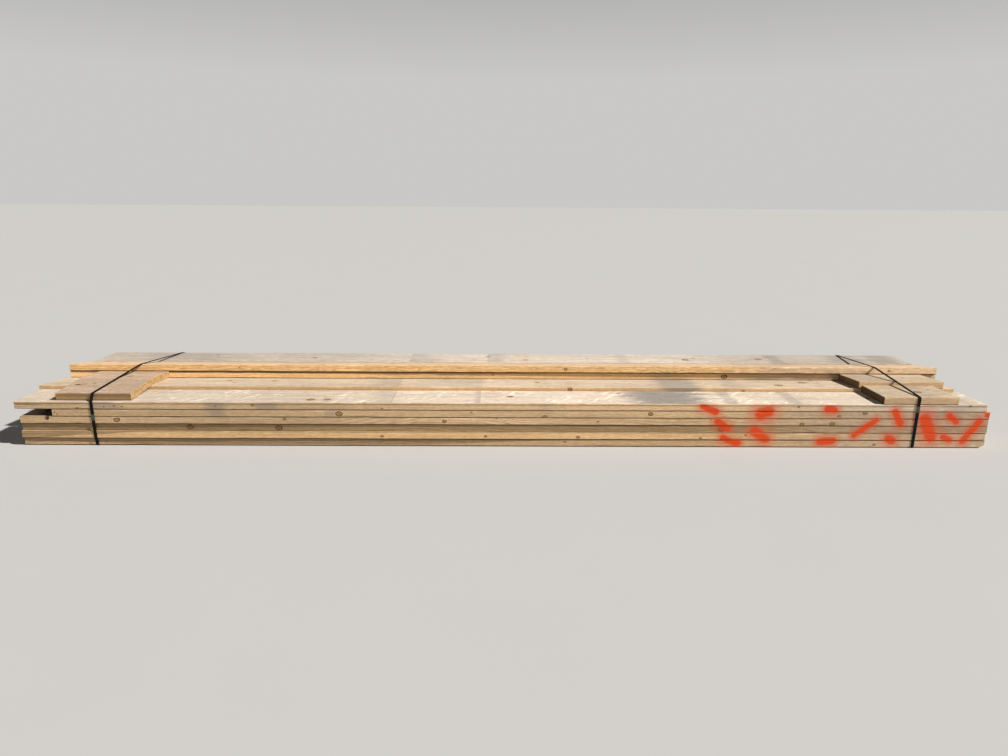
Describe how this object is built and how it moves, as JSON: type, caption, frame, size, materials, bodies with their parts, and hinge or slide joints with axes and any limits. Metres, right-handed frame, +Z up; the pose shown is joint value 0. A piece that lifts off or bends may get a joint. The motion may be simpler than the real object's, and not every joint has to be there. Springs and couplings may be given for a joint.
{
  "type": "stack of lumber",
  "caption": "Strapped stack of long sawn softwood boards in four rows of uneven height, two of them leaning, with short offcuts under two crimped straps.",
  "frame": {"origin": "middle of the underside of the box round the stack, on the ground", "axes": "+X along the boards, +Y from the front row to the back row, +Z up"},
  "size_m": [4.918, 0.9598, 0.3115],
  "materials": {
    "board_wood": "sawn and planed softwood, weathered",
    "offcut_wood": "sawn and planed softwood, weathered",
    "strap": "black ribbed polyester strapping",
    "seal": "dull green-grey crimped steel"
  },
  "bodies": {
    "root": {"back_row_board_1": "board_wood", "back_row_board_2": "board_wood", "back_row_board_3": "board_wood", "back_row_board_4": "board_wood", "back_row_board_5": "board_wood", "back_row_board_6": "board_wood", "back_row_board_7": "board_wood", "front_row_board_1": "board_wood", "front_row_board_2": "board_wood", "front_row_board_3": "board_wood", "front_row_board_4": "board_wood", "front_row_board_5": "board_wood", "front_row_board_6": "board_wood", "left_front_offcut": "offcut_wood", "left_rear_offcut": "offcut_wood", "left_seal": "seal", "left_strap": "strap", "right_front_offcut": "offcut_wood", "right_rear_offcut": "offcut_wood", "right_seal": "seal", "right_strap": "strap", "second_row_board_1": "board_wood", "second_row_board_2": "board_wood", "second_row_board_3": "board_wood", "second_row_board_4": "board_wood", "second_row_board_5": "board_wood", "second_row_board_6": "board_wood", "third_row_board_1": "board_wood", "third_row_board_2": "board_wood", "third_row_board_3": "board_wood", "third_row_board_4": "board_wood", "third_row_board_5": "board_wood", "third_row_board_6": "board_wood", "third_row_board_7": "board_wood"}
  },
  "joints": []
}
